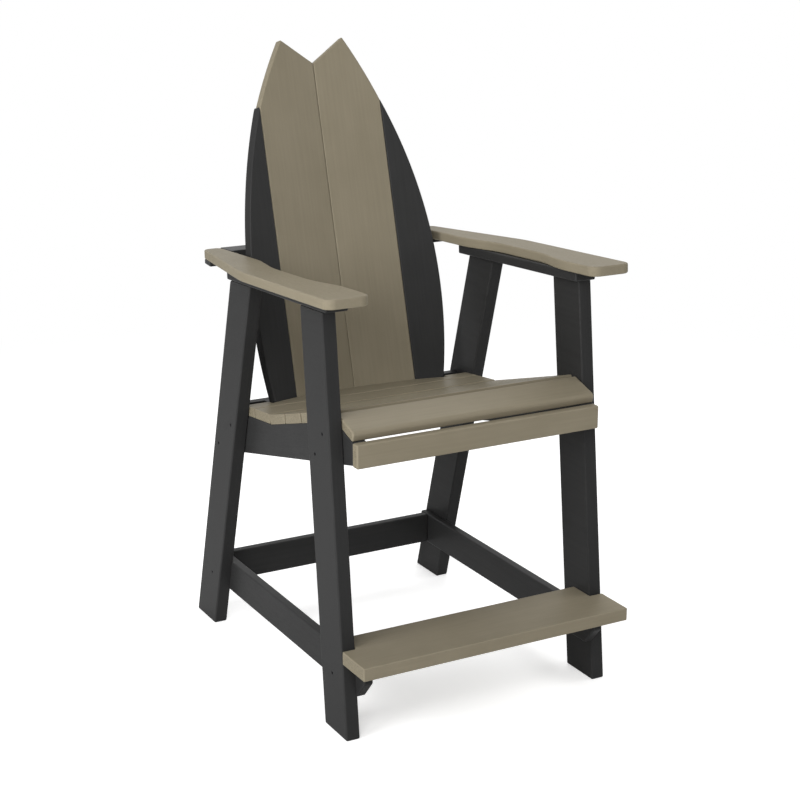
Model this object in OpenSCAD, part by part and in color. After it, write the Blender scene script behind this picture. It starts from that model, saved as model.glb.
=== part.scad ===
// Balcony chair: a tall fan-back armchair with a footrest, built from
// recycled plastic lumber in two colours and put together with screws.
// Frame: +Z up, the sitter faces -Y, +X is the right side seen from the front.
// The origin is on the floor under the middle of the chair's bounding box.
// Inside the modules Y is counted from the toe of the front legs.

/* [Boards] */
// Thickness of the seat slats, back boards, arms, cleats, front rail and stretchers
board_t = 19.05; // [17:0.05:21]
// Thickness of the legs, seat rails and upper back rail
frame_t = 28; // [25:0.5:30]
// Width of the leg boards
leg_w = 88.9; // [80:0.1:95]

/* [Legs] */
// Width over the outer faces of the legs
chair_w = 571.5; // [540:0.5:600]
// Backward lean of the front legs, degrees
front_lean = 6.02; // [5:0.01:7]
// Forward lean of the rear legs, degrees
rear_lean = 16.09; // [15:0.01:17]
// Distance on the floor from the front legs' toe to the rear legs' front corner
leg_spacing = 615.9; // [600:0.1:630]

/* [Footrest and stretchers] */
// Width of the footrest board
footrest_w = 140; // [130:0.1:150]
// Thickness of the footrest board
footrest_t = 25.4; // [22:0.1:30]
// Height of the underside of the footrest
footrest_z = 148.3; // [140:0.1:155]
// Clearance round the front legs in the notches of the footrest
notch_gap = 0.6; // [0.3:0.1:1.5]
// Height of the side stretchers
stretcher_h = 67; // [60:0.5:72]
// Height of the rear stretcher
rear_stretcher_h = 64.5; // [58:0.5:67]
// Depth of the grooves in the legs in which the side stretchers are housed
housing = 3; // [1:0.5:6]
// Clearance above and below the side stretchers in those grooves
groove_gap = 0.2; // [0.1:0.05:0.5]
// Reach of the side stretchers in front of the front legs' toe
stretcher_reach = 22; // [15:1:40]
// Height of the cut corner at the front of the side stretchers
stretcher_cut_h = 35; // [20:1:50]
// Length of the cut corner at the front of the side stretchers
stretcher_cut_l = 30; // [20:1:50]
// Distance from the rear edge of the rear legs to the end of the side stretchers
stretcher_inset = 5.6; // [2:0.2:15]
// Distance from the end of the side stretchers to the front face of the rear stretcher
rear_stretcher_inset = 32; // [25:1:45]

/* [Seat] */
// Distance from the front legs' toe to the crest of the seat rails
crest_y = 90.8; // [85:0.1:100]
// Distance from the front legs' toe to the bend in the seat
bend_y = 366.6; // [350:0.1:380]
// Height of the seat rails at the bend
bend_z = 504.9; // [495:0.1:515]
// Fall of the seat towards the bend, degrees
seat_fall = 16.2; // [14:0.1:18]
// Fall of the seat behind the bend, degrees
rear_fall = 6; // [4:0.1:8]
// Fall of the front slat towards the front, degrees
nose_fall = 17.5; // [15:0.1:20]
// Fall of the bottom edge of the seat rails, degrees
rail_bottom_fall = 13.2; // [12:0.1:14]
// Height of the bottom edge of the seat rails at their front end
rail_front_z = 521; // [505:0.5:530]
// Distance from the rear edge of the rear legs to the end of the seat rails
rail_end_inset = 8; // [4:0.5:15]
// Width of a seat slat
slat_w = 68.5; // [66:0.1:70]
// Gap between the slats on the front slope
slat_gap = 5.07; // [4:0.01:6]
// Distance from the crest to the first slat of the front slope
crest_gap = 2.3; // [1.5:0.1:4]
// Distance from the bend to the first slat behind it
bend_gap = 9.4; // [8:0.1:11]
// Gap between the two slats behind the bend
rear_slat_gap = 4; // [2.5:0.1:6]
// Distance from the middle of the back to the straight rear edge of the rear slat
seat_end_inset = 21; // [15:0.5:27]
// Gap between the ends of the slats and the legs
slat_end_gap = 0.5; // [0.3:0.1:2]
// Radius of the nose of the front slat
nose_r = 8; // [4:0.5:10]
// Distance from the front legs' toe to the front face of the front rail
front_rail_y = 5; // [2:0.5:8]
// Height of the front rail
front_rail_h = 45; // [40:0.5:50]
// Height of the top of the front rail
front_rail_z = 564; // [560:0.5:568]

/* [Back] */
// Recline of the back from upright, degrees
recline = 15.16; // [14.5:0.01:16]
// Distance from the front legs' toe to the middle of the back at seat level
back_y = 515; // [512:0.1:518]
// Height at which the distance of the back is taken
back_z = 510.5; // [505:0.5:515]
// Width of a centre board of the back
center_board_w = 138; // [136:0.1:141]
// Forward turn of the centre boards, degrees
center_turn = 5.34; // [4:0.01:7]
// Forward turn of the outer boards, degrees
outer_turn = 19.06; // [17:0.01:21]
// Joint between two boards of the back
back_joint = 0.8; // [0.4:0.1:2]
// Radius of the rounded outline of the back
outline_r = 1041; // [1030:1:1050]
// Half width of the back at its widest, measured over the boards
outline_half = 217.7; // [214:0.1:222]
// Height of the widest place of the back, measured along the boards from seat level
outline_rise = 188.1; // [180:0.1:200]
// Length of the back boards below seat level
back_tail = 78; // [70:1:85]
// Height of the bottom of the notch in the top of the back, measured along the boards
notch_rise = 671.8; // [660:0.1:680]
// Angle of the sides of the notch, degrees from level
notch_slope = 35.3; // [32:0.1:40]
// Clearance between the back boards and the rails cut to fit them
rail_fit = 0.2; // [0.1:0.05:0.5]
// Clearance between the back boards and the rear slat
slat_fit = 1; // [0.5:0.1:2]

/* [Back rails] */
// Height of the top of the lower back rail
low_rail_z = 502; // [499:0.5:505]
// Height of the board of the lower back rail
low_rail_h = 88.9; // [80:0.1:92]
// Depth of the block on the front of the lower back rail
low_rail_block = 46; // [40:0.5:50]
// Height of the block on the front of the lower back rail
low_rail_block_h = 45; // [38:0.5:55]
// Depth of the upper back rail behind the middle of the back
high_rail_depth = 45.4; // [40:0.2:50]
// Depth of the ends of the upper back rail
high_rail_end_depth = 55; // [50:0.5:60]
// Depth of the upper back rail at the outer boards of the back
high_rail_side_depth = 85; // [80:0.5:90]
// Distance from the widest place of the back to the end of the shaped part of the back rails
rail_shape_inset = 21.7; // [18:0.1:28]

/* [Arms] */
// Height of the arm tops above the front legs' toe
arm_z = 834.4; // [820:0.1:850]
// Fall of the arms towards the rear, degrees
arm_fall = 3.03; // [2:0.01:4]
// Reach of the arms inside the inner faces of the legs
arm_inset = 26.75; // [22:0.25:30]
// Width of the arms at the front
arm_w = 87.5; // [80:0.5:95]
// Width of the arms at their rear end
arm_rear_w = 37; // [32:0.5:42]
// Overhang of the arms in front of the front legs' toe
arm_front = 1.5; // [0:0.5:5]
// Distance from the front legs' toe to the place where the outer edge turns inwards
arm_turn_y = 366; // [350:1:380]
// Radius of the turn in the outer edge
arm_turn_r = 300; // [100:10:500]
// Radius of the front corners of the arms
arm_corner_r = 20; // [12:0.5:30]
// Radius of the rear corners of the arms
arm_rear_r = 14; // [4:0.5:16]
// Depth of the waist in the inner edge of the arms
waist = 18; // [10:0.5:22]
// Distance from the front legs' toe to the start of the waist
waist_start = 90; // [80:1:110]
// Distance from the front legs' toe to the front of the deepest stretch of the waist
waist_full = 220; // [190:1:240]
// Distance from the front legs' toe to the rear of the deepest stretch of the waist
waist_fade = 340; // [320:1:360]
// Distance from the front legs' toe to the end of the waist
waist_end = 480; // [460:1:500]
// Reach of the arm cleats in front of the front legs and behind the rear legs
cleat_overhang = 15.4; // [8:0.2:24]
// Reach of the arm cleats inside the inner faces of the legs
cleat_inset = 17.75; // [5:0.25:24]
// Clearance between an arm and the side of its seat in the upper back rail
arm_slot_gap = 0.5; // [0.3:0.1:1]

/* [Screws] */
// Diameter of the screw shanks
screw_d = 4.2; // [3.5:0.1:5]
// Diameter of the screw heads
head_d = 7; // [6:0.1:9]
// Length of the conical screw heads
head_l = 3; // [2:0.1:4]
// Length of the screw points
point_l = 5; // [3:0.1:7]
// Length of the screws through the legs
leg_screw_l = 41; // [38:0.5:42]
// Distance of the rail screws from the edges of the front legs
front_screw_inset = 27; // [22:0.5:32]
// Distance of the rail screws from the edges of the rear legs
rear_screw_inset = 22; // [18:0.5:32]
// Depth of the upper rail screws below the top of the seat rails
rail_screw_top = 19; // [15:0.5:25]
// Height of the lower rail screws above the bottom of the seat rails
rail_screw_bottom = 22; // [15:0.5:28]
// Distance of the rear stretcher screws in front of the middle of the leg
stretcher_screw_shift = 8; // [4:0.5:14]
// Length of the screws up through the cleats into the arms
arm_screw_l = 32; // [26:0.5:34]
// Number of screws from each cleat into its arm
arm_screw_count = 2; // [1:1:3]
// Length of the screws up through the ends of the upper back rail into the arms
ledge_screw_l = 24; // [18:0.5:25]
// Distance of those screws from the ends of the arms
ledge_screw_inset = 27; // [20:1:35]
// Length of the screws down through the cleats into the legs
cleat_screw_l = 63.5; // [50:0.5:70]
// Spread of the two screws in the top of each leg
cleat_screw_spread = 40; // [30:1:50]
// Length of the screws through the lower back rail
low_screw_l = 44; // [42:0.5:46]
// Length of the screws through the upper back rail
high_screw_l = 63.5; // [60:0.5:66]
// Depth of board left in front of the points of the back screws
back_screw_cover = 5; // [4:0.5:8]
// Clearance round the screws in their holes
hole_gap = 0.15; // [0.1:0.01:0.3]
// Depth of the screw heads below the surface
head_sink = 0.5; // [0.3:0.1:1]

/* [Hidden] */

// Places across the chair
leg_out = chair_w / 2;
leg_in = leg_out - frame_t;
leg_mid = leg_out - frame_t / 2;
rail_in = leg_in - frame_t;
stretcher_out = leg_in + housing;
stretcher_in = stretcher_out - board_t;
stretcher_z = footrest_z - stretcher_h;
slat_half = leg_in - slat_end_gap;
arm_inner = leg_in - arm_inset;
arm_outer = arm_inner + arm_w;
cleat_inner = leg_in - cleat_inset;
rail_shape_half = outline_half - rail_shape_inset;

// Feet, and the plane through the tops of the legs on which the cleats lie
front_foot = leg_w / cos(front_lean);
rear_foot = leg_w / cos(rear_lean);
heel_y = leg_spacing + rear_foot;
cleat_z = arm_z - 2 * board_t / cos(arm_fall);
stretcher_rear = heel_y - tan(rear_lean) * footrest_z - stretcher_inset;
rear_stretcher_y = stretcher_rear - rear_stretcher_inset;

// Seat line: the tops of the seat rails
crest_z = bend_z + tan(seat_fall) * (bend_y - crest_y);
seat_z0 = bend_z + tan(seat_fall) * bend_y;
rear_seat_z0 = bend_z + tan(rear_fall) * bend_y;
rail_front_y = front_rail_y + board_t;
rail_bottom_z0 = rail_front_z + tan(rail_bottom_fall) * rail_front_y;
slat_pitch = slat_w + slat_gap;

// Back: the edge where a centre board meets an outer board, and the rounded outline
seam_x = center_board_w * cos(center_turn);
seam_v = -center_board_w * sin(center_turn);
outline_u = outline_half - outline_r;
notch_a = 1 + pow(tan(notch_slope), 2);
notch_b = 2 * (tan(notch_slope) * (notch_rise - outline_rise) - outline_u);
notch_c = pow(outline_u, 2) + pow(notch_rise - outline_rise, 2) - pow(outline_r, 2);
peak_u = (sqrt(notch_b * notch_b - 4 * notch_a * notch_c) - notch_b) / (2 * notch_a);
peak_w = notch_rise + tan(notch_slope) * peak_u;
peak_v = board_t * cos(center_turn) - peak_u * sin(center_turn);
peak_y = back_y + peak_v * cos(recline) + peak_w * sin(recline);
seat_u = outline_u + sqrt(pow(outline_r, 2) - pow(outline_rise, 2)) - center_board_w;
seat_edge_x = seam_x + seat_u * cos(outer_turn) + board_t * sin(outer_turn);

// The rear faces of a centre and an outer board meet here
rear_v = board_t / cos(center_turn) + rail_fit;
rear_step = board_t * (1 / cos(outer_turn) - 1 / cos(center_turn));
rear_seam_x = seam_x + rear_step / (tan(outer_turn) - tan(center_turn));
rear_seam_v = rear_v - rear_seam_x * tan(center_turn);
rear_edge_v = rear_seam_v - (outline_half - rear_seam_x) * tan(outer_turn);

// The line down the middle of the back's rear, and what lies against it
seat_end_y = back_y - seat_end_inset;
back_rear_y0 = back_y - tan(recline) * back_z + board_t / (cos(recline) * cos(center_turn));
low_rail_y = back_rear_y0 + tan(recline) * low_rail_z;
low_screw_z = low_rail_z - low_rail_block_h / 2;
back_arm_y = crossing(back_rear_y0, tan(recline), arm_z, -tan(arm_fall)).x;
high_screw_z = arm_z - tan(arm_fall) * back_arm_y - frame_t / 2;

// Arms
arm_end_y = along_arm(back_arm_y) + high_rail_depth;
arm_taper = (arm_w - arm_rear_w) / (arm_end_y - arm_turn_y);
taper_angle = atan(arm_taper);

// The middle of the chair from the front of the footrest to its rearmost point
footrest_reach = footrest_w / 2;
middle_y = (max(heel_y, peak_y) - footrest_reach) / 2;

// Length by which a cut runs past the surface that it goes through
overrun = chair_w;

black = "#333333";
khaki = "#857d6a";
steel = "#2b2b2b";

// Where the line y = y0 + m z crosses the line z = z0 + k y, as a side view point
function crossing(y0, m, z0, k) = [(y0 + m * z0) / (1 - m * k), z0 + k * (y0 + m * z0) / (1 - m * k)];

// Top of a leg edge that starts at y on the floor and leans back by an angle
function leg_top(y, lean) = crossing(y, tan(lean), cleat_z, -tan(arm_fall));

// Place along the arm plane of a point of the cleats' underside that is at y
function along_arm(y) = (y + 2 * board_t * sin(arm_fall)) / cos(arm_fall);

// Points of an arc round a centre, from one angle to another
function arc(x, y, r, from, to, steps = 8) =
  [for (i = [0:steps]) let (a = from + (to - from) * i / steps) [x + r * cos(a), y + r * sin(a)]];

// Outer edge of the arms at a place along them
function arm_edge(y) = arm_outer - arm_taper * (y - arm_turn_y);

// Smooth rise from 0 to 1
function ease(t) = (1 - cos(180 * t)) / 2;

// A stretch of the waist in the inner edge of an arm, between two depths
function waist_run(from_y, to_y, from_d, to_d, steps = 12) = [
  for (i = [0:steps])
    [arm_inner + from_d + (to_d - from_d) * ease(i / steps), from_y + (to_y - from_y) * i / steps]
];

// The points of one half and their mirror images, as one outline
function mirrored(points) = concat(points, [for (i = [len(points) - 1:-1:0]) [-points[i].x, points[i].y]]);

// Screws through a leg, as side view points: two into the seat rail, one into the stretcher
function leg_screw_places(foot_y, foot, lean, inset, seat_z, fall) = [
  crossing(foot_y + inset, tan(lean), seat_z - rail_screw_top, -tan(fall)),
  crossing(foot_y + foot - inset, tan(lean), rail_bottom_z0 + rail_screw_bottom, -tan(rail_bottom_fall)),
];
stretcher_screw_z = footrest_z - stretcher_h / 2;
front_rail_screws = leg_screw_places(0, front_foot, front_lean, front_screw_inset, seat_z0, seat_fall);
rear_rail_screws = leg_screw_places(
  leg_spacing, rear_foot, -rear_lean, rear_screw_inset, rear_seat_z0, rear_fall
);
front_stretcher_screw = [front_foot / 2 + tan(front_lean) * stretcher_screw_z, stretcher_screw_z];
rear_leg_mid_y = leg_spacing + rear_foot / 2 - tan(rear_lean) * stretcher_screw_z;
rear_stretcher_screw = [rear_leg_mid_y - stretcher_screw_shift, stretcher_screw_z];

// Screws in the arms, as places along the arm plane
ledge_screw_y = arm_end_y - ledge_screw_inset;
leg_tops = [
  along_arm((leg_top(0, front_lean).x + leg_top(front_foot, front_lean).x) / 2),
  along_arm((leg_top(leg_spacing, -rear_lean).x + leg_top(heel_y, -rear_lean).x) / 2)
];
cleat_front = along_arm(leg_top(0, front_lean).x) - cleat_overhang;
cleat_rear = along_arm(leg_top(heel_y, -rear_lean).x) + cleat_overhang;
cleat_screws_at = [for (y = leg_tops, side = [-1, 1]) y + side * cleat_screw_spread / 2];
arm_screw_pitch = (leg_tops[1] - leg_tops[0]) / (arm_screw_count + 1);
arm_screws_at = [for (i = [1:arm_screw_count]) leg_tops[0] + i * arm_screw_pitch];
ledge_screw_x = (arm_inner + arm_edge(ledge_screw_y)) / 2;

// Screws in the back, as plan points: one into a centre board, one into an outer board
back_screws_at = [center_board_w / 2, seam_x + seat_u / 2];

// Front face of the back at x, at height z
function back_front_y(x, z) =
  back_y + tan(recline) * (z - back_z)
  - (min(x, seam_x) * tan(center_turn) + max(x - seam_x, 0) * tan(outer_turn)) / cos(recline);

// Puts a piece in the frame; the left pieces are the right ones mirrored
module placed(side = 1) {
  mirror([side < 0 ? 1 : 0, 0, 0]) translate([0, -middle_y, 0]) children();
}

// A board drawn from the side as (Y, Z) points, from x outwards
module side_cut(x, thickness) {
  translate([x, 0, 0]) rotate([90, 0, 90]) linear_extrude(height = thickness) children();
}

// A board drawn from the side that runs across the chair
module across(half) {
  side_cut(-half, 2 * half) children();
}

// The plane of the arm tops: X across, Y back along the arms, Z square to them
module in_arm_plane() {
  translate([0, 0, arm_z]) rotate([-arm_fall, 0, 0]) children();
}

// The plane of the back: X across, Y to the rear, Z up along the boards
module in_back_plane() {
  translate([0, back_y, back_z]) rotate([-recline, 0, 0]) children();
}

// A countersunk screw with its head at the origin and its point along +Z
module screw(length) {
  rotate_extrude($fn = 32)
    polygon([
      [0, 0], [head_d / 2, 0], [screw_d / 2, head_l],
      [screw_d / 2, length - point_l], [0, length]
    ]);
}

// The hole for such a screw, with a straight bore of a given depth before the head
module screw_hole(length, bore) {
  head_r = head_d / 2 + hole_gap;
  shank_r = screw_d / 2 + hole_gap;
  rotate_extrude($fn = 32)
    polygon([
      [0, -bore], [head_r, -bore], [head_r, 0], [shank_r, head_l],
      [shank_r, length + hole_gap], [0, length + hole_gap]
    ]);
}

// Children at each of these side view points, on the outer face of a leg, pointing inwards
module at_leg_face(points) {
  for (p = points)
    translate([leg_out - head_sink, p.x, p.y]) rotate([0, -90, 0]) children();
}

// Children at the screws that go up into the arm from the cleat's underside
module at_arm_screws() {
  for (y = arm_screws_at)
    translate([leg_mid, y, head_sink - 2 * board_t]) children();
}

// Children at the screws that go down through the cleat into the leg tops
module at_cleat_screws() {
  for (y = cleat_screws_at)
    translate([leg_mid, y, -board_t - head_sink]) rotate([180, 0, 0]) children();
}

// Children at the screw that goes up through the upper back rail into the arm's end
module at_ledge_screw() {
  translate([ledge_screw_x, ledge_screw_y, head_sink - frame_t]) children();
}

// Children at the screws of one back rail at height z, pointing forwards
module at_back_screws(z, length) {
  for (x = back_screws_at)
    translate([x, back_front_y(x, z) + back_screw_cover + length, z]) rotate([90, 0, 0]) children();
}

// Leg blank from the floor to the cleat
module leg_blank(foot_y, foot, lean) {
  side_cut(leg_in, frame_t)
    polygon([[foot_y, 0], [foot_y + foot, 0], leg_top(foot_y + foot, lean), leg_top(foot_y, lean)]);
}

// The groove in the legs for the side stretcher, up to the stretcher's rear end
module stretcher_groove() {
  translate([0, -overrun, stretcher_z - groove_gap])
    cube([stretcher_out, overrun + stretcher_rear + groove_gap, stretcher_h + 2 * groove_gap]);
}

// Front leg: a board that leans back
module front_leg(side) {
  color(black) placed(side) difference() {
    leg_blank(0, front_foot, front_lean);
    stretcher_groove();
    at_leg_face(front_rail_screws) screw_hole(leg_screw_l, head_l);
    at_leg_face([front_stretcher_screw]) screw_hole(leg_screw_l, head_l);
    in_arm_plane() at_cleat_screws() screw_hole(cleat_screw_l, head_l);
  }
}

// Rear leg: a board that leans forward
module rear_leg(side) {
  color(black) placed(side) difference() {
    leg_blank(leg_spacing, rear_foot, -rear_lean);
    stretcher_groove();
    at_leg_face(rear_rail_screws) screw_hole(leg_screw_l, head_l);
    at_leg_face([rear_stretcher_screw]) screw_hole(leg_screw_l, head_l);
    in_arm_plane() at_cleat_screws() screw_hole(cleat_screw_l, head_l);
  }
}

// Side stretcher: on edge in the grooves of the legs, with the lower front corner cut off
module side_stretcher(side) {
  color(black) placed(side) difference() {
    side_cut(stretcher_in, board_t)
      polygon([
        [-stretcher_reach, footrest_z], [-stretcher_reach, stretcher_z + stretcher_cut_h],
        [stretcher_cut_l - stretcher_reach, stretcher_z], [stretcher_rear, stretcher_z],
        [stretcher_rear, footrest_z]
      ]);
    at_leg_face([front_stretcher_screw, rear_stretcher_screw]) screw_hole(leg_screw_l, head_l);
  }
}

// Rear stretcher: on edge between the side stretchers
module rear_stretcher() {
  color(black) placed() across(stretcher_in)
    translate([rear_stretcher_y, footrest_z - rear_stretcher_h]) square([board_t, rear_stretcher_h]);
}

// Footrest: laid flat on the side stretchers and notched round the front legs
module footrest() {
  notch_y = tan(front_lean) * footrest_z - notch_gap;
  color(khaki) placed() translate([0, 0, footrest_z]) linear_extrude(height = footrest_t)
    polygon(mirrored([
      [leg_in - notch_gap, footrest_reach], [leg_in - notch_gap, notch_y],
      [leg_out, notch_y], [leg_out, -footrest_reach]
    ]));
}

// Seat rail: a wide board inside the legs whose top carries the slats
module seat_rail(side) {
  end_y = heel_y - rail_end_inset;
  color(black) placed(side) difference() {
    side_cut(rail_in, frame_t)
      polygon([
        [rail_front_y, rail_front_z],
        [rail_front_y, crest_z - tan(nose_fall) * (crest_y - rail_front_y)],
        [crest_y, crest_z], [bend_y, bend_z],
        crossing(end_y, -tan(rear_lean), rear_seat_z0, -tan(rear_fall)),
        crossing(end_y, -tan(rear_lean), rail_bottom_z0, -tan(rail_bottom_fall))
      ]);
    at_leg_face(front_rail_screws) screw_hole(leg_screw_l, head_l);
    at_leg_face(rear_rail_screws) screw_hole(leg_screw_l, head_l);
  }
}

// Front rail: on edge across the front ends of the seat rails
module front_rail() {
  color(khaki) placed() across(leg_in)
    translate([front_rail_y, front_rail_z - front_rail_h]) square([board_t, front_rail_h]);
}

// Front slat: falls forward from the crest, with a rounded nose
module front_slat() {
  color(khaki) placed() across(slat_half)
    translate([crest_y, crest_z]) rotate(nose_fall) translate([-slat_w, 0]) union() {
      translate([nose_r, 0]) square([slat_w - nose_r, board_t]);
      square([slat_w, board_t - nose_r]);
      translate([nose_r, board_t - nose_r]) circle(r = nose_r, $fn = 64);
    }
}

// Seat slats on the front slope, counted from the crest
module slope_slat(index) {
  color(khaki) placed() across(slat_half)
    translate([crest_y, crest_z]) rotate(-seat_fall) translate([crest_gap + index * slat_pitch, 0])
      square([slat_w, board_t]);
}

// Section of the seat behind the bend, from a place along it and of a given width
module rear_seat_section(along, width) {
  translate([bend_y, bend_z]) rotate(-rear_fall) translate([along, 0]) square([width, board_t]);
}

// Fifth slat: the first one behind the bend
module bend_slat() {
  color(khaki) placed() across(slat_half) rear_seat_section(bend_gap, slat_w);
}

// Sixth slat: cut to the shape of the back, with straight ends beside it
module rear_slat() {
  from = bend_gap + slat_w + rear_slat_gap;
  edge_x = seat_edge_x + slat_fit;
  color(khaki) placed() difference() {
    across(slat_half) rear_seat_section(from, slat_w);
    for (side = [0, 1]) mirror([side, 0, 0])
      translate([edge_x, seat_end_y, 0]) cube([overrun, overrun, overrun]);
    in_back_plane() translate([0, 0, -overrun]) linear_extrude(height = 2 * overrun)
      polygon(mirrored([
        [0, -slat_fit], [seam_x, seam_v - slat_fit],
        [edge_x, seam_v - slat_fit - (edge_x - seam_x) * tan(outer_turn)], [edge_x, overrun]
      ]));
  }
}

// The space in front of the rear faces of the back boards
module back_space() {
  in_back_plane() translate([0, 0, -2 * overrun]) linear_extrude(height = 4 * overrun)
    polygon(mirrored([
      [0, rear_v], [rear_seam_x, rear_seam_v], [outline_half, rear_edge_v], [outline_half, -overrun]
    ]));
}

// Lower back rail: on edge between the seat rails, with ends that lie on them
// and a block on its front that is shaped to the back boards
module lower_back_rail() {
  end_z = rear_seat_z0 - tan(rear_fall) * low_rail_y;
  color(black) placed() difference() {
    union() {
      across(leg_in) translate([low_rail_y, end_z]) square([board_t, low_rail_z - end_z]);
      across(rail_in)
        translate([low_rail_y, low_rail_z - low_rail_h]) square([board_t, low_rail_h]);
      across(rail_shape_half)
        translate([low_rail_y - low_rail_block, low_rail_z - low_rail_block_h])
          square([low_rail_block + board_t / 2, low_rail_block_h]);
    }
    back_space();
    for (side = [0, 1]) mirror([side, 0, 0])
      at_back_screws(low_screw_z, low_screw_l) screw_hole(low_screw_l, overrun);
  }
}

// Upper back rail: laid flat with the arms, its front edge shaped to the back boards
// and its ends cut down so that the arms lie on them
module upper_back_rail() {
  end_y = arm_end_y - high_rail_end_depth;
  color(black) placed() difference() {
    in_arm_plane() difference() {
      translate([0, 0, -frame_t]) linear_extrude(height = frame_t)
        polygon(mirrored(concat(
          [[rail_shape_half, arm_end_y - high_rail_side_depth], [rail_shape_half, end_y]],
          [[arm_edge(end_y), end_y]],
          arm_rear_corner()
        )));
      for (side = [0, 1]) mirror([side, 0, 0]) {
        translate([arm_inner - arm_slot_gap, 0, -board_t]) cube([overrun, 2 * overrun, frame_t]);
        at_ledge_screw() screw_hole(ledge_screw_l, head_l);
      }
    }
    back_space();
    for (side = [0, 1]) mirror([side, 0, 0])
      at_back_screws(high_screw_z, high_screw_l) screw_hole(high_screw_l, overrun);
  }
}

// The rounded outline of the back, from a seam at u
module outline_disc(u) {
  translate([outline_u - u, outline_rise]) circle(r = outline_r, $fn = 360);
}

// Centre board of the back: straight edges and its half of the notched top
module back_center(side) {
  height = peak_w + back_tail;
  color(khaki) placed(side) difference() {
    in_back_plane() rotate([0, 0, -center_turn]) translate([0, board_t, 0]) rotate([90, 0, 0])
      linear_extrude(height = board_t) difference() {
        intersection() {
          translate([back_joint / 2, -back_tail]) square([center_board_w - back_joint, height]);
          outline_disc(0);
        }
        polygon([[0, notch_rise], [overrun, notch_rise + overrun * tan(notch_slope)], [0, overrun + peak_w]]);
      }
    at_back_screws(low_screw_z, low_screw_l) screw_hole(low_screw_l, overrun);
    at_back_screws(high_screw_z, high_screw_l) screw_hole(high_screw_l, overrun);
  }
}

// Outer board of the back: a straight inner edge and a rounded outer edge
module back_outer(side) {
  height = peak_w + back_tail;
  color(black) placed(side) difference() {
    in_back_plane() translate([seam_x, seam_v, 0]) rotate([0, 0, -outer_turn])
      translate([0, board_t, 0]) rotate([90, 0, 0]) linear_extrude(height = board_t) intersection() {
        translate([back_joint / 2, -back_tail]) square([center_board_w, height]);
        outline_disc(center_board_w);
      }
    at_back_screws(low_screw_z, low_screw_l) screw_hole(low_screw_l, overrun);
    at_back_screws(high_screw_z, high_screw_l) screw_hole(high_screw_l, overrun);
  }
}

// Arm cleat: laid flat on the leg tops under the arm
module arm_cleat(side) {
  color(black) placed(side) in_arm_plane() difference() {
    translate([cleat_inner, cleat_front, -2 * board_t])
      cube([leg_out - cleat_inner, cleat_rear - cleat_front, board_t]);
    at_arm_screws() screw_hole(arm_screw_l, head_l);
    at_cleat_screws() screw_hole(cleat_screw_l, head_l);
  }
}

// Rounded outer rear corner of an arm, from its tapered edge to its end
function arm_rear_corner() = arc(
  arm_edge(arm_end_y - arm_rear_r) - arm_rear_r / cos(taper_angle), arm_end_y - arm_rear_r,
  arm_rear_r, taper_angle, 90
);

// Arm: wide at the front, waisted on the inside and tapered to the rear
module arm(side) {
  turn_start_y = arm_turn_y - arm_turn_r * tan(taper_angle / 2);
  color(khaki) placed(side) in_arm_plane() difference() {
    translate([0, 0, -board_t]) linear_extrude(height = board_t)
      polygon(concat(
        arc(arm_inner + arm_corner_r, arm_corner_r - arm_front, arm_corner_r, 180, 270),
        arc(arm_outer - arm_corner_r, arm_corner_r - arm_front, arm_corner_r, 270, 360),
        arc(arm_outer - arm_turn_r, turn_start_y, arm_turn_r, 0, taper_angle),
        arm_rear_corner(),
        arc(arm_inner + arm_rear_r, arm_end_y - arm_rear_r, arm_rear_r, 90, 180),
        waist_run(waist_end, waist_fade, 0, waist),
        waist_run(waist_full, waist_start, waist, 0)
      ));
    at_arm_screws() screw_hole(arm_screw_l, head_l);
    at_ledge_screw() screw_hole(ledge_screw_l, head_l);
  }
}

// Screws through the legs into the seat rails and the stretchers
module leg_screws() {
  color(steel) for (side = [-1, 1]) placed(side) {
    at_leg_face(front_rail_screws) screw(leg_screw_l);
    at_leg_face(rear_rail_screws) screw(leg_screw_l);
    at_leg_face([front_stretcher_screw, rear_stretcher_screw]) screw(leg_screw_l);
  }
}

// Screws up into the arms, through the cleats and the ends of the upper back rail
module arm_screws() {
  color(steel) for (side = [-1, 1]) placed(side) in_arm_plane() {
    at_arm_screws() screw(arm_screw_l);
    at_ledge_screw() screw(ledge_screw_l);
  }
}

// Screws down through the cleats into the legs, covered by the arms
module cleat_screws() {
  color(steel) for (side = [-1, 1]) placed(side) in_arm_plane()
    at_cleat_screws() screw(cleat_screw_l);
}

// Screws through the two back rails into the back boards
module back_screws() {
  color(steel) for (side = [-1, 1]) placed(side) {
    at_back_screws(low_screw_z, low_screw_l) screw(low_screw_l);
    at_back_screws(high_screw_z, high_screw_l) screw(high_screw_l);
  }
}

front_leg(-1);  // front_leg_left
front_leg(1);  // front_leg_right
rear_leg(-1);  // rear_leg_left
rear_leg(1);  // rear_leg_right
side_stretcher(-1);  // side_stretcher_left
side_stretcher(1);  // side_stretcher_right
rear_stretcher();
footrest();
seat_rail(-1);  // seat_rail_left
seat_rail(1);  // seat_rail_right
front_rail();
front_slat();
slope_slat(0);  // seat_slat_1
slope_slat(1);  // seat_slat_2
slope_slat(2);  // seat_slat_3
slope_slat(3);  // seat_slat_4
bend_slat();  // seat_slat_5
rear_slat();  // seat_slat_6
lower_back_rail();
upper_back_rail();
back_center(-1);  // back_center_left
back_center(1);  // back_center_right
back_outer(-1);  // back_outer_left
back_outer(1);  // back_outer_right
arm_cleat(-1);  // arm_cleat_left
arm_cleat(1);  // arm_cleat_right
arm(-1);  // arm_left
arm(1);  // arm_right
leg_screws();
arm_screws();
cleat_screws();
back_screws();
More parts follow.
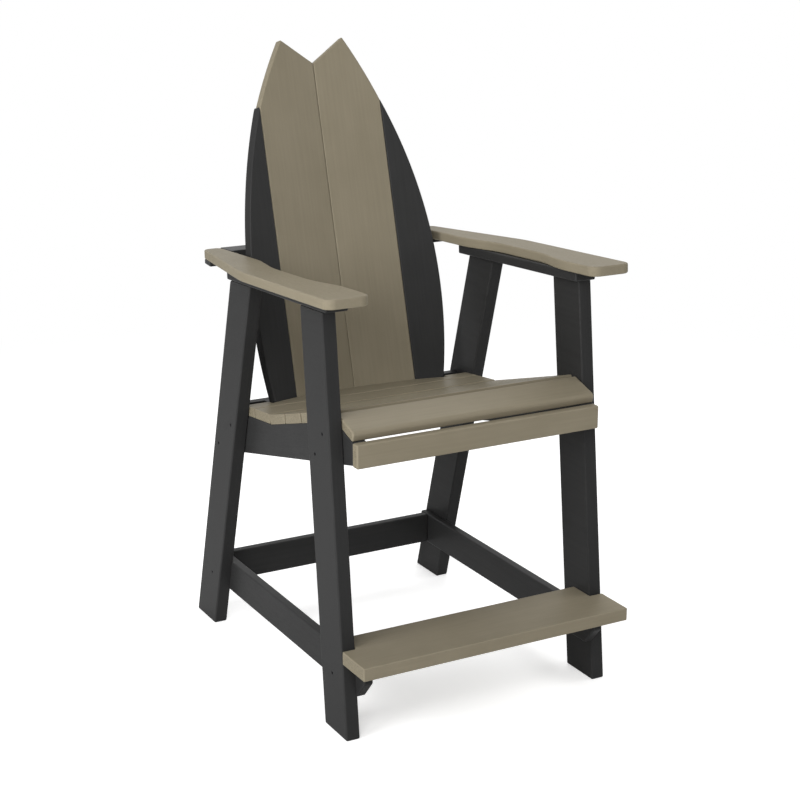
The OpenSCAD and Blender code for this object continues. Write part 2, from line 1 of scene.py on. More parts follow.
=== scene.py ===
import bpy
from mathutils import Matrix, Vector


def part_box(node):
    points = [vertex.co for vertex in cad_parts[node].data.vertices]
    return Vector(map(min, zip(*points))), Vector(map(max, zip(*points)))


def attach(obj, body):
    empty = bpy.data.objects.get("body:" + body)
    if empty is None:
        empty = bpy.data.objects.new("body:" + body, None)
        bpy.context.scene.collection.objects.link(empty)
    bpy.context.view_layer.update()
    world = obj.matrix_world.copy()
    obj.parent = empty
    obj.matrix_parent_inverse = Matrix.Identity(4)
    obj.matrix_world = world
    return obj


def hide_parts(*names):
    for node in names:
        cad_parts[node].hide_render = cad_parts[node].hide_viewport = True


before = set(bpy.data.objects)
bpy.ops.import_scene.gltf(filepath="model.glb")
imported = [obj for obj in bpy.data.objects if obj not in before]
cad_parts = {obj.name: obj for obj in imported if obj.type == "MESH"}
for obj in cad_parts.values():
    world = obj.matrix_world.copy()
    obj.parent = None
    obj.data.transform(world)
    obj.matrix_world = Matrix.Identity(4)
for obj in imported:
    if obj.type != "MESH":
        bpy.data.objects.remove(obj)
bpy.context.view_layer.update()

import math
import random
import bmesh
import bpy
from mathutils import Matrix, Vector

# Camera. A long lens on a stand at head height, a little to the chair's left, that looks
# slightly down. All sizes in this file are in millimetres and degrees, and times mm they
# are the metres that the scene is built in.
camera_at = (-1612.3, -2942.3, 1519.7)
camera_turn, camera_dip = -28.761, -15.406
lens_mm, film_mm = 79.43, 36.0
framing_shift = -0.04
mm = 0.001

camera_data = bpy.data.cameras.new("camera")
camera_data.lens, camera_data.sensor_width = lens_mm, film_mm
camera_data.shift_y = framing_shift
camera = bpy.data.objects.new("camera", camera_data)
camera.location = Vector(camera_at) * mm
camera.rotation_euler = (math.radians(90 + camera_dip), 0, math.radians(camera_turn))
bpy.context.collection.objects.link(camera)
bpy.context.scene.camera = camera

# Front legs. Each is one wide board of black recycled plastic lumber that leans back.
# It is sawn level at the floor and to the fall of the arms at the top, and its edges are
# eased with a router and painted paler than the faces, part wear and part painted highlight.
board_t, frame_t = 19.05, 28.0
leg_out, leg_w = 285.75, 88.9
leg_in = leg_out - frame_t
front_lean, arm_fall = 6.02, 3.03
arm_z = 834.4
edge_r, round_steps = 3.2, 4
# Edges that turn more than this are eased, and points nearer than this are merged
sharp_angle, weld_gap = 28, 0.02
# Each board is cut from its own place in this length of the pattern, and its ends are
# the faces that look along it at least this squarely
pattern_span, end_facing = 5000, 0.9
toe_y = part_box("front_leg_left")[0][1] / mm
SIDES = ((-1, "left"), (1, "right"))


def tan(degrees):
    return math.tan(math.radians(degrees))


def cos(degrees):
    return math.cos(math.radians(degrees))


def sin(degrees):
    return math.sin(math.radians(degrees))


def crossing(y0, slant, z0, fall):
    """Where the line y = y0 + slant z meets the line z = z0 - fall y, seen from the side."""
    z = (z0 - fall * y0) / (1 + fall * slant)
    return (y0 + slant * z, z)


def side_view(side, x):
    """Places an outline drawn as (Y, Z), counted from the front legs' toe, from x outwards."""
    return Matrix(((0, 0, side, side * x), (1, 0, 0, toe_y), (0, 1, 0, 0), (0, 0, 0, 1)))


def blank(outline, thickness, place):
    """A board as it is sawn: its outline, drawn out to its thickness, in metres."""
    bm = bmesh.new()
    faces = [
        [bm.verts.new((place @ Vector((a, b, c))) * mm) for a, b in outline]
        for c in (0, thickness)
    ]
    for face in faces:
        bm.faces.new(face)
    for i in range(len(outline)):
        j = (i + 1) % len(outline)
        bm.faces.new((faces[0][i], faces[0][j], faces[1][j], faces[1][i]))
    bmesh.ops.recalc_face_normals(bm, faces=bm.faces)
    return bm


def welded(mesh):
    """Merges points that all but meet, so that no sliver of a face is left."""
    bm = bmesh.new()
    bm.from_mesh(mesh)
    bmesh.ops.remove_doubles(bm, verts=bm.verts, dist=weld_gap * mm)
    bm.to_mesh(mesh)
    bm.free()


def eased(name, bm, radius, along, face, open_ends=True):
    """Rounds a board's sharp edges and makes it a piece. Three attributes go with it: grain,
    the place along, across and through the board in its own part of the pattern, and eased
    and sawn, which are 1 on the edges and on ends that show the open core."""
    sharp = [e for e in bm.edges if e.calc_face_angle(0) > math.radians(sharp_angle)]
    rounds = set(bmesh.ops.bevel(
        bm, geom=sharp, offset=radius * mm, offset_type="OFFSET", segments=round_steps,
        profile=0.5, affect="EDGES", clamp_overlap=True,
    )["faces"])
    bm.verts.ensure_lookup_table()
    along, face = Vector(along).normalized(), Vector(face).normalized()
    across = face.cross(along)
    start = random.Random(name)
    shift = [start.uniform(0, pattern_span * mm) for _ in range(3)]
    grain, edge_band = [], []
    for v in bm.verts:
        grain += [v.co.dot(axis) + s for axis, s in zip((along, across, face), shift)]
        edge_band.append(float(all(f in rounds for f in v.link_faces)))
    ends = [float(open_ends and f not in rounds and abs(f.normal.dot(along)) > end_facing)
            for f in bm.faces]
    mesh = bpy.data.meshes.new(name)
    bm.to_mesh(mesh)
    bm.free()
    mesh.attributes.new("sawn", "FLOAT", "FACE").data.foreach_set("value", ends)
    mesh.attributes.new("grain", "FLOAT_VECTOR", "POINT").data.foreach_set("vector", grain)
    mesh.attributes.new("eased", "FLOAT", "POINT").data.foreach_set("value", edge_band)
    welded(mesh)
    mesh.shade_smooth()
    piece = bpy.data.objects.new(name, mesh)
    bpy.context.collection.objects.link(piece)
    piece.modifiers.new("flat faces", "WEIGHTED_NORMAL").keep_sharp = True
    return piece


def colour(hex_text):
    """An sRGB colour as the linear one that a shader takes."""
    parts = [int(hex_text[i:i + 2], 16) / 255 for i in (1, 3, 5)]
    linear = [c / 12.92 if c <= 0.04045 else ((c + 0.055) / 1.055) ** 2.4 for c in parts]
    return linear + [1.0]


def add_node(tree, kind, inputs=None, **settings):
    """Adds a node with its settings; an input is given a value or another node's output."""
    node = tree.nodes.new(kind)
    for key, value in settings.items():
        setattr(node, key, value)
    for key, value in (inputs or {}).items():
        if isinstance(value, bpy.types.NodeSocket):
            tree.links.new(value, node.inputs[key])
        else:
            node.inputs[key].default_value = value
    return node


def poly_lumber(name, body, dark, pale, edge_wear_and_highlight, pore_shade, rough, shine):
    """HDPE poly lumber: extruded boards, coloured all through, with a fine drawn grain
    that gives them a soft, satin gloss. The scales count waves to a metre of board."""
    streak_scale, cloud_scale = (6.5, 200, 200), 11.0
    grain_scale, pore_scale = (80, 1250, 1250), 650.0
    smoothest, roughest = rough - 0.06, rough + 0.08
    streak_relief, pore_relief, relief_depth = 0.4, 3.0, 0.08
    material = bpy.data.materials.new(name)
    material.use_nodes = True
    tree = material.node_tree
    shader = tree.nodes["Principled BSDF"]
    place = add_node(tree, "ShaderNodeAttribute", attribute_name="grain").outputs["Vector"]
    # Streaks drawn out by the extruder's die: about 150 mm long and 5 mm wide
    streak_at = add_node(tree, "ShaderNodeMapping", {"Vector": place, "Scale": streak_scale})
    streaks = add_node(tree, "ShaderNodeTexNoise",
                       {"Vector": streak_at.outputs[0], "Scale": 1.0,
                        "Detail": 3.0, "Roughness": 0.55})
    # Uneven mix of the recycled plastic, in clouds about 90 mm across
    clouds = add_node(tree, "ShaderNodeTexNoise",
                      {"Vector": place, "Scale": cloud_scale, "Detail": 2.0, "Roughness": 0.5})
    # Drawn grain: 12 mm long and 0.8 mm wide, felt more than seen
    grain_at = add_node(tree, "ShaderNodeMapping", {"Vector": place, "Scale": grain_scale})
    fine = add_node(tree, "ShaderNodeTexNoise",
                    {"Vector": grain_at.outputs[0], "Scale": 1.0,
                     "Detail": 2.0, "Roughness": 0.6})
    blend = add_node(tree, "ShaderNodeMath",
                     {0: streaks.outputs[0], 1: clouds.outputs[0]}, operation="ADD")
    tone = add_node(tree, "ShaderNodeMapRange",
                    {"Value": blend.outputs[0], "From Min": 0.7, "From Max": 1.3})
    ramp = add_node(tree, "ShaderNodeValToRGB", {"Fac": tone.outputs[0]})
    ramp.color_ramp.elements[0].color = colour(dark)
    ramp.color_ramp.elements[1].color = colour(pale)
    ramp.color_ramp.elements.new(0.5).color = colour(body)
    # Eased edges are painted paler, part router wear and part painted highlight, more where rubbed
    edge_band = add_node(tree, "ShaderNodeAttribute", attribute_name="eased").outputs["Fac"]
    patchy = add_node(tree, "ShaderNodeMapRange",
                      {"Value": clouds.outputs[0], "From Min": 0.35, "From Max": 0.65,
                       "To Min": 0.45, "To Max": 1.0})
    wear_and_highlight = add_node(tree, "ShaderNodeMath",
                    {0: edge_band, 1: patchy.outputs[0]}, operation="MULTIPLY")
    # The colour sockets of a Mix node are its seventh and eighth, and its third output
    tint = add_node(tree, "ShaderNodeMix",
                    {0: wear_and_highlight.outputs[0], 6: ramp.outputs[0], 7: colour(edge_wear_and_highlight)}, data_type="RGBA")
    # Sawn ends show the open pores of the board's core, about 1.5 mm across, in painted shade
    end = add_node(tree, "ShaderNodeAttribute", attribute_name="sawn").outputs["Fac"]
    pores = add_node(tree, "ShaderNodeTexNoise",
                     {"Vector": place, "Scale": pore_scale, "Detail": 1.0, "Roughness": 0.5})
    pitted = add_node(tree, "ShaderNodeMath",
                      {0: pores.outputs[0], 1: end}, operation="MULTIPLY")
    pore_shade_mask = add_node(tree, "ShaderNodeMapRange",
                          {"Value": pitted.outputs[0], "From Min": 0.45, "From Max": 0.75})
    speckled = add_node(tree, "ShaderNodeMix",
                        {0: pore_shade_mask.outputs[0], 6: tint.outputs[2], 7: colour(pore_shade)},
                        data_type="RGBA")
    tree.links.new(speckled.outputs[2], shader.inputs["Base Color"])
    gloss = add_node(tree, "ShaderNodeMapRange",
                     {"Value": fine.outputs[0], "From Min": 0.3, "From Max": 0.7,
                      "To Min": smoothest, "To Max": roughest})
    tree.links.new(gloss.outputs[0], shader.inputs["Roughness"])
    smooth = add_node(tree, "ShaderNodeMath",
                      {0: streaks.outputs[0], 1: streak_relief, 2: fine.outputs[0]},
                      operation="MULTIPLY_ADD")
    relief = add_node(tree, "ShaderNodeMath",
                      {0: pitted.outputs[0], 1: pore_relief, 2: smooth.outputs[0]},
                      operation="MULTIPLY_ADD")
    bump = add_node(tree, "ShaderNodeBump",
                    {"Height": relief.outputs[0], "Distance": relief_depth * mm,
                     "Strength": 0.27})
    tree.links.new(bump.outputs[0], shader.inputs["Normal"])
    shader.inputs["IOR"].default_value = 1.54
    shader.inputs["Specular IOR Level"].default_value = shine
    return material


# The edge colour is painted paler, part wear and part painted highlight on the eased edges
black_lumber = poly_lumber(
    "HDPE poly lumber, black", body="#303030", dark="#2E2E2E", pale="#323232",
    # The pit colour is painted shade in the open pores of sawn ends
    edge_wear_and_highlight="#383838", pore_shade="#222222", rough=0.38, shine=0.05)


def leg_top(y, lean):
    """Where an edge that starts at y on the floor meets the underside of the cleats."""
    return crossing(y, tan(lean), arm_z - 2 * board_t / cos(arm_fall), tan(arm_fall))


front_foot = leg_w / cos(front_lean)
for side, word in SIDES:
    leg = eased("front_leg_board_" + word, blank(
        [(0, 0), (front_foot, 0), leg_top(front_foot, front_lean), leg_top(0, front_lean)],
        frame_t, side_view(side, leg_in)), edge_r, (0, tan(front_lean), 1), (side, 0, 0))
    leg.data.materials.append(black_lumber)
    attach(leg, "root")
    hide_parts("front_leg_" + word)

# Rear legs. The same black boards, made in the same way, which lean forward. The cleats
# on their tops and the seat rails inside them join them to the front legs.
rear_lean, leg_spacing = 16.09, 615.9
rear_foot = leg_w / cos(rear_lean)
heel_y = leg_spacing + rear_foot
for side, word in SIDES:
    leg = eased("rear_leg_board_" + word, blank(
        [(leg_spacing, 0), (heel_y, 0),
         leg_top(heel_y, -rear_lean), leg_top(leg_spacing, -rear_lean)],
        frame_t, side_view(side, leg_in)), edge_r, (0, -tan(rear_lean), 1), (side, 0, 0))
    leg.data.materials.append(black_lumber)
    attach(leg, "root")
    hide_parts("rear_leg_" + word)

# Stretchers. Two thin black boards on edge, let into grooves inside the legs and
# screwed from outside, and a third between them in front of their rear ends.
footrest_z, stretcher_h, rear_stretcher_h = 148.3, 67.0, 64.5
housing, stretcher_reach, corner_h, corner_l = 3.0, 22.0, 35.0, 30.0
rear_inset, cross_inset = 5.6, 32.0
stretcher_in = leg_in + housing - board_t
stretcher_z = footrest_z - stretcher_h
stretcher_rear = heel_y - tan(rear_lean) * footrest_z - rear_inset
groove_fit, inward, crease_angle = 0.2, 5.0, 40


def oblong(a0, a1, b0, b1):
    """The corners of an oblong from a0 to a1 one way and from b0 to b1 the other."""
    return [(a0, b0), (a1, b0), (a1, b1), (a0, b1)]


def carved(piece, cutter):
    """Cuts a shape out of a finished board, which keeps its eased edges and attributes."""
    shape = bpy.data.meshes.new("cutter")
    cutter.to_mesh(shape)
    cutter.free()
    holder = bpy.data.objects.new("cutter", shape)
    bpy.context.collection.objects.link(holder)
    flat = piece.modifiers.find("flat faces")
    piece.modifiers[flat].show_viewport = False
    saw = piece.modifiers.new("saw", "BOOLEAN")
    saw.operation, saw.object, saw.solver = "DIFFERENCE", holder, "EXACT"
    piece.modifiers.move(piece.modifiers.find("saw"), flat)
    shaped = piece.evaluated_get(bpy.context.evaluated_depsgraph_get())
    mesh = bpy.data.meshes.new_from_object(shaped)
    welded(mesh)
    mesh.set_sharp_from_angle(angle=math.radians(crease_angle))
    piece.modifiers.remove(piece.modifiers["saw"])
    piece.modifiers["flat faces"].show_viewport = True
    piece.data = mesh
    bpy.data.objects.remove(holder)


groove = oblong(-stretcher_reach, stretcher_rear + groove_fit,
                stretcher_z - groove_fit, footrest_z + groove_fit)
for side, word in SIDES:
    for kind in ("front", "rear"):
        carved(bpy.data.objects["%s_leg_board_%s" % (kind, word)],
               blank(groove, inward + housing + groove_fit, side_view(side, leg_in - inward)))
    stretcher = eased("stretcher_board_" + word, blank(
        [(-stretcher_reach, footrest_z), (-stretcher_reach, stretcher_z + corner_h),
         (corner_l - stretcher_reach, stretcher_z), (stretcher_rear, stretcher_z),
         (stretcher_rear, footrest_z)],
        board_t, side_view(side, stretcher_in)), edge_r, (0, 1, 0), (side, 0, 0))
    stretcher.data.materials.append(black_lumber)
    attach(stretcher, "root")
    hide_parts("side_stretcher_" + word)

cross_y = stretcher_rear - cross_inset
cross = eased("stretcher_board_rear", blank(
    oblong(cross_y, cross_y + board_t, footrest_z - rear_stretcher_h, footrest_z),
    2 * stretcher_in, side_view(1, -stretcher_in)), edge_r, (1, 0, 0), (0, 1, 0))
cross.data.materials.append(black_lumber)
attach(cross, "root")
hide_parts("rear_stretcher")

# Footrest. A wide khaki board laid flat on the side stretchers. It is notched round the
# front legs, so its rear half lies between them, and it is screwed from below.
footrest_w, footrest_t, notch_gap, footrest_edge_r = 140.0, 25.4, 0.6, 2.2
# The edge colour is painted paler, part wear and part painted highlight on the eased edges
khaki_lumber = poly_lumber(
    "HDPE poly lumber, khaki", body="#867E6C", dark="#837B69", pale="#89816F",
    # The pit colour is painted shade in the open pores of sawn ends
    edge_wear_and_highlight="#8A8270", pore_shade="#6A6352", rough=0.4, shine=0.035)


def both_sides(half):
    """An outline's right half and its mirror image, as one outline."""
    return half + [(-a, b) for a, b in reversed(half)]


def laid_flat(z):
    """Places an outline drawn from above as (X, Y) at height z."""
    return Matrix.Translation((0, toe_y, z))


notch_y = tan(front_lean) * footrest_z - notch_gap
footrest = eased("footrest_board", blank(both_sides(
    [(leg_in - notch_gap, footrest_w / 2), (leg_in - notch_gap, notch_y),
     (leg_out, notch_y), (leg_out, -footrest_w / 2)]),
    footrest_t, laid_flat(footrest_z)), footrest_edge_r, (1, 0, 0), (0, 0, 1))
footrest.data.materials.append(khaki_lumber)
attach(footrest, "root")
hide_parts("footrest")

# Seat rails. Thick black boards inside the legs, screwed through them. Their tops are
# sawn to the seat's line: down from the crest to the bend, then flatter to the rear.
crest_y, bend_y, bend_z = 90.8, 366.6, 504.9
seat_fall, rear_fall, nose_fall, bottom_fall = 16.2, 6.0, 17.5, 13.2
front_rail_y, rail_front_z, rail_end_inset, rail_edge_r = 5.0, 521.0, 8.0, 2.0
rail_front_y = front_rail_y + board_t
rail_bottom_z0 = rail_front_z + tan(bottom_fall) * rail_front_y
crest_z = bend_z + tan(seat_fall) * (bend_y - crest_y)
rear_seat_z0 = bend_z + tan(rear_fall) * bend_y
rail_end_y = heel_y - rail_end_inset
rail_outline = [
    (rail_front_y, rail_front_z),
    (rail_front_y, crest_z - tan(nose_fall) * (crest_y - rail_front_y)),
    (crest_y, crest_z), (bend_y, bend_z),
    crossing(rail_end_y, -tan(rear_lean), rear_seat_z0, tan(rear_fall)),
    crossing(rail_end_y, -tan(rear_lean), rail_bottom_z0, tan(bottom_fall)),
]
rail_in = leg_in - frame_t
for side, word in SIDES:
    rail = eased("seat_rail_board_" + word,
                 blank(rail_outline, frame_t, side_view(side, rail_in)),
                 rail_edge_r, (0, 1, -tan(bottom_fall)), (side, 0, 0))
    rail.data.materials.append(black_lumber)
    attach(rail, "root")
    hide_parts("seat_rail_" + word)

# Front rail and front slat. The rail is a khaki board on edge across the ends of the
# seat rails. The slat above it falls forward from the crest to a well rounded nose.
front_rail_h, front_rail_z = 45.0, 564.0
slat_w, slat_clear, nose_r, nose_step = 68.5, 0.5, 8.0, 9
slat_half = leg_in - slat_clear
front_rail = eased("front_rail_board", blank(
    oblong(front_rail_y, rail_front_y, front_rail_z - front_rail_h, front_rail_z),
    2 * leg_in, side_view(1, -leg_in)), edge_r, (1, 0, 0), (0, -1, 0))

nose = [(nose_r - nose_r * sin(a), board_t - nose_r + nose_r * cos(a))
        for a in range(0, 90 + nose_step, nose_step)]
section = [(slat_w, 0), (slat_w, board_t)] + nose + [(0, 0)]
front_slat = eased("front_slat_board", blank(
    [(crest_y - slat_w * cos(nose_fall) + a * cos(nose_fall) - b * sin(nose_fall),
      crest_z - slat_w * sin(nose_fall) + a * sin(nose_fall) + b * cos(nose_fall))
     for a, b in section],
    2 * slat_half, side_view(1, -slat_half)), edge_r, (1, 0, 0), (0, -tan(nose_fall), 1))
for piece, node in ((front_rail, "front_rail"), (front_slat, "front_slat")):
    piece.data.materials.append(khaki_lumber)
    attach(piece, "root")
    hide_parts(node)

# Seat slats. Five equal khaki boards across the seat rails: four on the front slope and
# one behind the bend. Screws from below hold them, so their tops are plain.
slat_gap, crest_gap, bend_gap, slope_slats, slat_edge_r = 5.07, 2.3, 9.4, 4, 1.3
slat_tree = bpy.data.node_groups.new("slats on the seat rails", "GeometryNodeTree")
slat_sizes = {
    "Slat length": 2 * slat_half, "Slat width": slat_w, "Slat thickness": board_t, "Gap": slat_gap,
    "First gap": crest_gap, "Fall": seat_fall, "Crest Y": crest_y + toe_y, "Crest Z": crest_z,
    "Bend gap": bend_gap, "Rear fall": rear_fall, "Bend Y": bend_y + toe_y, "Bend Z": bend_z,
}
slat_tree.interface.new_socket("Geometry", in_out="OUTPUT", socket_type="NodeSocketGeometry")
for label in slat_sizes:
    slat_tree.interface.new_socket(label, in_out="INPUT", socket_type="NodeSocketFloat")
slat_tree.interface.new_socket("Slats on the slope", in_out="INPUT", socket_type="NodeSocketInt")
slat_tree.interface.new_socket("Material", in_out="INPUT", socket_type="NodeSocketMaterial")
given = add_node(slat_tree, "NodeGroupInput").outputs


def sum_of(tree, a, b, operation="ADD"):
    """The sum of two numbers in a tree, or their product or difference."""
    return add_node(tree, "ShaderNodeMath", {0: a, 1: b}, operation=operation).outputs[0]


slat_cube = add_node(slat_tree, "ShaderNodeCombineXYZ", {
    0: given["Slat length"], 1: given["Slat width"], 2: given["Slat thickness"]})
slat_blank = add_node(slat_tree, "GeometryNodeMeshCube", {"Size": slat_cube.outputs[0]})
half_w = sum_of(slat_tree, given["Slat width"], 0.5, "MULTIPLY")
half_t = sum_of(slat_tree, given["Slat thickness"], 0.5, "MULTIPLY")
runs = []
for gap, fall, y, z, count in (
        ("First gap", "Fall", "Crest Y", "Crest Z", given["Slats on the slope"]),
        ("Bend gap", "Rear fall", "Bend Y", "Bend Z", 1)):
    # Slats in a row from the start of the run, then turned to its fall and set in place
    first = add_node(slat_tree, "ShaderNodeCombineXYZ", {
        1: sum_of(slat_tree, given[gap], half_w), 2: half_t})
    pitch = add_node(slat_tree, "ShaderNodeCombineXYZ", {
        1: sum_of(slat_tree, given["Slat width"], given["Gap"])})
    row = add_node(slat_tree, "GeometryNodeMeshLine", {
        "Count": count, "Start Location": first.outputs[0], "Offset": pitch.outputs[0]})
    slats = add_node(slat_tree, "GeometryNodeInstanceOnPoints", {
        "Points": row.outputs[0], "Instance": slat_blank.outputs[0]})
    turn = add_node(slat_tree, "ShaderNodeCombineXYZ", {
        0: sum_of(slat_tree, given[fall], math.radians(-1), "MULTIPLY")})
    spot = add_node(slat_tree, "ShaderNodeCombineXYZ", {1: given[y], 2: given[z]})
    solid = add_node(slat_tree, "GeometryNodeRealizeInstances", {0: slats.outputs[0]})
    runs.append(add_node(slat_tree, "GeometryNodeTransform", {
        "Geometry": solid.outputs[0], "Translation": spot.outputs[0],
        "Rotation": turn.outputs[0]}).outputs[0])
joined = add_node(slat_tree, "GeometryNodeJoinGeometry")
for run in runs:
    slat_tree.links.new(run, joined.inputs[0])
metres = add_node(slat_tree, "GeometryNodeTransform", {
    "Geometry": joined.outputs[0], "Scale": (mm, mm, mm)})
whole = add_node(slat_tree, "GeometryNodeRealizeInstances", {0: metres.outputs[0]})
dressed = add_node(slat_tree, "GeometryNodeSetMaterial", {
    "Geometry": whole.outputs[0], "Material": given["Material"]})
add_node(slat_tree, "NodeGroupOutput", {0: dressed.outputs[0]})


def made_by(tree, start_mesh, values):
    """Runs a Geometry Nodes tree on a mesh with these inputs and gives its result."""
    holder = bpy.data.objects.new(tree.name, start_mesh)
    bpy.context.collection.objects.link(holder)
    modifier = holder.modifiers.new(tree.name, "NODES")
    modifier.node_group = tree
    for item in tree.interface.items_tree:
        if item.item_type == "SOCKET" and item.in_out == "INPUT" and item.name in values:
            modifier[item.identifier] = values[item.name]
    holder.update_tag()
    shaped = holder.evaluated_get(bpy.context.evaluated_depsgraph_get())
    mesh = bpy.data.meshes.new_from_object(shaped)
    bpy.data.objects.remove(holder)
    return mesh


slat_mesh = made_by(slat_tree, bpy.data.meshes.new("slats"),
                    {**slat_sizes, "Slats on the slope": slope_slats, "Material": khaki_lumber})
slat_bm = bmesh.new()
slat_bm.from_mesh(slat_mesh)
slats = eased("seat_slat_boards", slat_bm, slat_edge_r, (1, 0, 0), (0, tan(seat_fall), 1))
slats.data.materials.append(khaki_lumber)
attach(slats, "root")
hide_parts(*("seat_slat_%d" % n for n in range(1, 6)))

# Rear slat. The sixth khaki board lies under the front of the back, so its rear edge is
# sawn to the back's four faces and only its straight ends show beside the outer boards.
recline, back_y, back_z = 15.16, 515.0, 510.5
center_w, center_turn, outer_turn = 138.0, 5.34, 19.06
# Each side of the back's outline is an arc of this radius, widest this far out and up
outline_r, outline_half, outline_rise = 1041.0, 217.7, 188.1
outline_u = outline_half - outline_r
seam_x, seam_v = center_w * cos(center_turn), -center_w * sin(center_turn)
seat_u = outline_u + math.sqrt(outline_r ** 2 - outline_rise ** 2) - center_w
rear_slat_gap, end_cut, slat_fit, far = 4.0, 21.0, 1.0, 700.0
saw_weld, same_plane = 0.01, 0.5
edge_x = seam_x + seat_u * cos(outer_turn) + board_t * sin(outer_turn) + slat_fit


def in_back(turn=0.0, x=0.0, v=0.0):
    """Places X across, Y to the rear and Z up along the boards of the back, from x and v."""
    return (Matrix.Translation((0, back_y + toe_y, back_z))
            @ Matrix.Rotation(math.radians(-recline), 4, "X")
            @ Matrix.Translation((x, v, 0)) @ Matrix.Rotation(math.radians(-turn), 4, "Z"))


def sawn(bm, cutter, operation="DIFFERENCE"):
    """A blank with another one taken from it, or added to it."""
    meshes, holders = [], []
    for part in (bm, cutter):
        meshes.append(bpy.data.meshes.new("blank"))
        part.to_mesh(meshes[-1])
        part.free()
        holders.append(bpy.data.objects.new("blank", meshes[-1]))
        bpy.context.collection.objects.link(holders[-1])
    saw = holders[0].modifiers.new("saw", "BOOLEAN")
    saw.operation, saw.object, saw.solver = operation, holders[1], "EXACT"
    shaped = holders[0].evaluated_get(bpy.context.evaluated_depsgraph_get())
    result = bmesh.new()
    result.from_mesh(shaped.to_mesh())
    for holder in holders:
        bpy.data.objects.remove(holder)
    bmesh.ops.remove_doubles(result, verts=result.verts, dist=saw_weld * mm)
    bmesh.ops.dissolve_limit(result, angle_limit=math.radians(same_plane),
                             verts=result.verts, edges=result.edges)
    return result


rear_from = bend_gap + slat_w + rear_slat_gap
rear_slat = blank(
    [(bend_y + a * cos(rear_fall) + b * sin(rear_fall),
      bend_z - a * sin(rear_fall) + b * cos(rear_fall))
     for a, b in oblong(rear_from, rear_from + slat_w, 0, board_t)],
    2 * slat_half, side_view(1, -slat_half))
for side in (-1, 1):
    rear_slat = sawn(rear_slat, blank(
        oblong(side * edge_x, side * far, back_y - end_cut, far), far, laid_flat(0)))
rear_slat = sawn(rear_slat, blank(both_sides(
    [(0, -slat_fit), (seam_x, seam_v - slat_fit),
     (edge_x, seam_v - slat_fit - (edge_x - seam_x) * tan(outer_turn)), (edge_x, far)]),
    2 * far, in_back() @ Matrix.Translation((0, 0, -far))))
rear_slat = eased("rear_slat_board", rear_slat, slat_edge_r, (1, 0, 0), (0, tan(rear_fall), 1))
rear_slat.data.materials.append(khaki_lumber)
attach(rear_slat, "root")
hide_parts("seat_slat_6")

# Lower back rail. A black board on edge between the seat rails, with ends that lie on
# them, and a block on its front that is shaped to the rear faces of the back boards.
low_z, low_h, block_d, block_h = 502.0, 88.9, 46.0, 45.0
shape_inset, rail_fit, back_rail_edge_r = 21.7, 0.2, 1.5
rail_shape_half = outline_half - shape_inset
rear_v = board_t / cos(center_turn) + rail_fit
rear_step = board_t * (1 / cos(outer_turn) - 1 / cos(center_turn))
rear_seam_x = seam_x + rear_step / (tan(outer_turn) - tan(center_turn))
rear_seam_v = rear_v - rear_seam_x * tan(center_turn)
rear_edge_v = rear_seam_v - (outline_half - rear_seam_x) * tan(outer_turn)
low_y = (back_y - tan(recline) * back_z + board_t / (cos(recline) * cos(center_turn))
         + tan(recline) * low_z)


def back_space():
    """The space in front of the rear faces of the back boards."""
    return blank(both_sides([(0, rear_v), (rear_seam_x, rear_seam_v), (outline_half, rear_edge_v),
                             (outline_half, -far)]),
                 4 * far, in_back() @ Matrix.Translation((0, 0, -2 * far)))


def upright(y):
    """Places an outline drawn from the front as (X, Z), from y to the rear."""
    return Matrix(((1, 0, 0, 0), (0, 0, 1, y + toe_y), (0, 1, 0, 0), (0, 0, 0, 1)))


low_end_z = rear_seat_z0 - tan(rear_fall) * low_y
low_rail = blank(both_sides(
    [(rail_in, low_z - low_h), (rail_in, low_end_z), (leg_in, low_end_z), (leg_in, low_z)]),
    board_t, upright(low_y))
block = blank(both_sides([(rail_shape_half, low_z - block_h), (rail_shape_half, low_z)]),
              block_d + board_t / 2, upright(low_y - block_d))
low_rail = sawn(sawn(low_rail, block, "UNION"), back_space())
low_rail = eased("lower_back_rail_board", low_rail, back_rail_edge_r, (1, 0, 0), (0, 1, 0))
low_rail.data.materials.append(black_lumber)
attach(low_rail, "root")
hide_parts("lower_back_rail")

# Back boards. Four boards stand in a shallow fan, khaki in the middle and black outside,
# each turned forward a little. Their outline is one long curve with a notched top, and
# the screws come from behind, through the two back rails.
back_tail, notch_rise, notch_slope = 78.0, 671.8, 35.3
# A joint under zero lets the boards press on one another, so no light comes between them
back_joint, back_edge_r = -0.3, 2.8
outline_steps, corner_clear = 60, 4.0


def outline_at(w, u0):
    """How far the rounded outline is from a board's seam at a height along the boards."""
    return outline_u - u0 + math.sqrt(outline_r ** 2 - (w - outline_rise) ** 2)


# The peak is where the slope of the notch meets the outline
peak_w, passes = notch_rise, 40
for _ in range(passes):
    peak_w = notch_rise + tan(notch_slope) * outline_at(peak_w, 0)
heights = [-back_tail + i * (peak_w + back_tail) / outline_steps
           for i in range(outline_steps + 1)]
